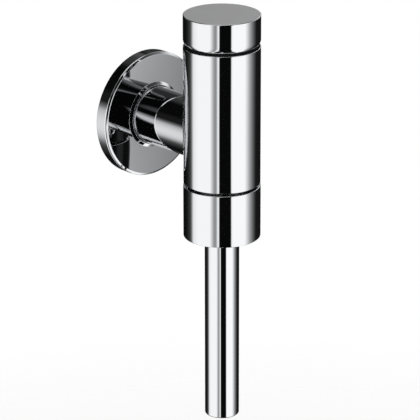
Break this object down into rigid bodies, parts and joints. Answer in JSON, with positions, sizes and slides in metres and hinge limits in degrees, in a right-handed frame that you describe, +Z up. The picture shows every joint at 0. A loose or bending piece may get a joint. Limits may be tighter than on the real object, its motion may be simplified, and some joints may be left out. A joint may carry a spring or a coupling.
{
  "type": "urinal flush valve",
  "caption": "Chrome push-cap flush valve for a urinal: upright cylindrical body, side inlet through a round wall rosette, air-slit sleeve and straight flush pipe below.",
  "frame": {"origin": "on the inlet axis at the face of the wall", "axes": "+Y runs into the wall along the inlet thread, +Z is up along the valve, +X is to the right seen from the room"},
  "size_m": [0.0666, 0.0928, 0.2197],
  "materials": {
    "chrome": "polished chrome plate on brass",
    "brass": "turned, unplated",
    "steel": "stainless, turned or drawn",
    "rubber": "moulded, matt black",
    "fibre": "pressed fibre, red",
    "white_plastic": "moulded acetal",
    "grey_plastic": "moulded",
    "blue_plastic": "moulded",
    "black_plastic": "moulded, black"
  },
  "bodies": {
    "valve": {"head_piece": "brass", "head_gasket": "fibre", "head_oring": "rubber", "stem_seal": "rubber", "seat_ring": "steel", "valve_body": "chrome", "body_gasket": "fibre", "jet_insert": "grey_plastic", "air_lip_ring": "rubber", "breaker_body": "brass", "pipe_gasket": "rubber", "clamp_ring": "steel", "outlet_sleeve": "chrome", "flush_pipe": "chrome", "inlet_nipple": "chrome", "inlet_gasket": "fibre", "flow_restrictor": "blue_plastic", "inlet_strainer": "steel"},
    "button": {"push_cap": "chrome", "push_stem": "brass", "pilot_seal": "rubber", "pilot_clip": "steel", "button_spring": "steel"},
    "piston": {"piston": "white_plastic", "piston_lip_seal": "rubber", "piston_seat_seal": "rubber", "seal_screw": "brass", "bleed_nozzle": "brass", "piston_spring": "steel"},
    "rosette": {"wall_rosette": "chrome", "rosette_bush": "black_plastic", "rosette_oring": "rubber", "rosette_gasket": "rubber"}
  },
  "joints": [
    {"name": "cap_press", "type": "slide", "parent": "valve", "child": "button", "axis": [0, 0, -1], "range_m": [0, 0.0015], "stiffness_N_per_m": 900, "springref_m": -0.009, "deforming": ["button_spring"]},
    {"name": "piston_lift", "type": "slide", "parent": "valve", "child": "piston", "axis": [0, 0, 1], "range_m": [0, 0.005], "stiffness_N_per_m": 160, "springref_m": -0.016, "deforming": ["piston_spring"]},
    {"name": "rosette_slide", "type": "slide", "parent": "valve", "child": "rosette", "axis": [0, -1, 0], "range_m": [0, 0.008]}
  ]
}
